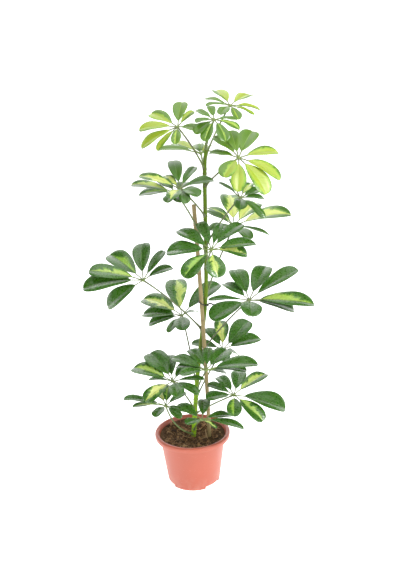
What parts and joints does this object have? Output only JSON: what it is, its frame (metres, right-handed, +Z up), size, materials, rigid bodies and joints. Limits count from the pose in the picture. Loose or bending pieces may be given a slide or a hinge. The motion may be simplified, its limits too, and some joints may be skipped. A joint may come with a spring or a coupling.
{
  "type": "potted umbrella plant",
  "caption": "Upright variegated umbrella plant tied to a cane in a tapered plastic nursery pot; palmate leaves on long stalks stand out all the way up the stem.",
  "frame": {"origin": "centre of the pot's flat underside, on the surface that it stands on", "axes": "+Z up along the stem, +X to the right seen from the front, -Y towards the front"},
  "size_m": [0.5366, 0.3417, 0.9621],
  "materials": {
    "pot": "satin terracotta-coloured plastic",
    "soil": "damp peat compost with bark and fibres",
    "stem": "green bark with leaf scars",
    "cane": "dry bamboo",
    "tie": "black coated wire",
    "leaf": "waxy dark green with cream-yellow patches",
    "young_leaf": "waxy lime green with pale yellow patches"
  },
  "bodies": {
    "root": {"pot": "pot", "soil": "soil", "stem": "stem", "cane": "cane", "tie": "tie", "leaf_top_left": "young_leaf", "leaf_top_front": "young_leaf", "leaf_top_right": "young_leaf", "leaf_top_back": "young_leaf", "leaf_upper_right_front": "young_leaf", "leaf_upper_left_front": "leaf", "leaf_upper_left_back": "leaf", "leaf_upper_right_inner": "leaf", "leaf_upper_right_back": "leaf", "leaf_middle_front": "leaf", "leaf_middle_left_front": "leaf", "leaf_middle_left_back": "leaf", "leaf_middle_right": "leaf", "leaf_lower_left": "leaf", "leaf_lower_front": "leaf", "leaf_lower_right_back": "leaf", "leaf_lower_right": "leaf", "leaf_base_left": "leaf", "leaf_base_front": "leaf"}
  },
  "joints": []
}
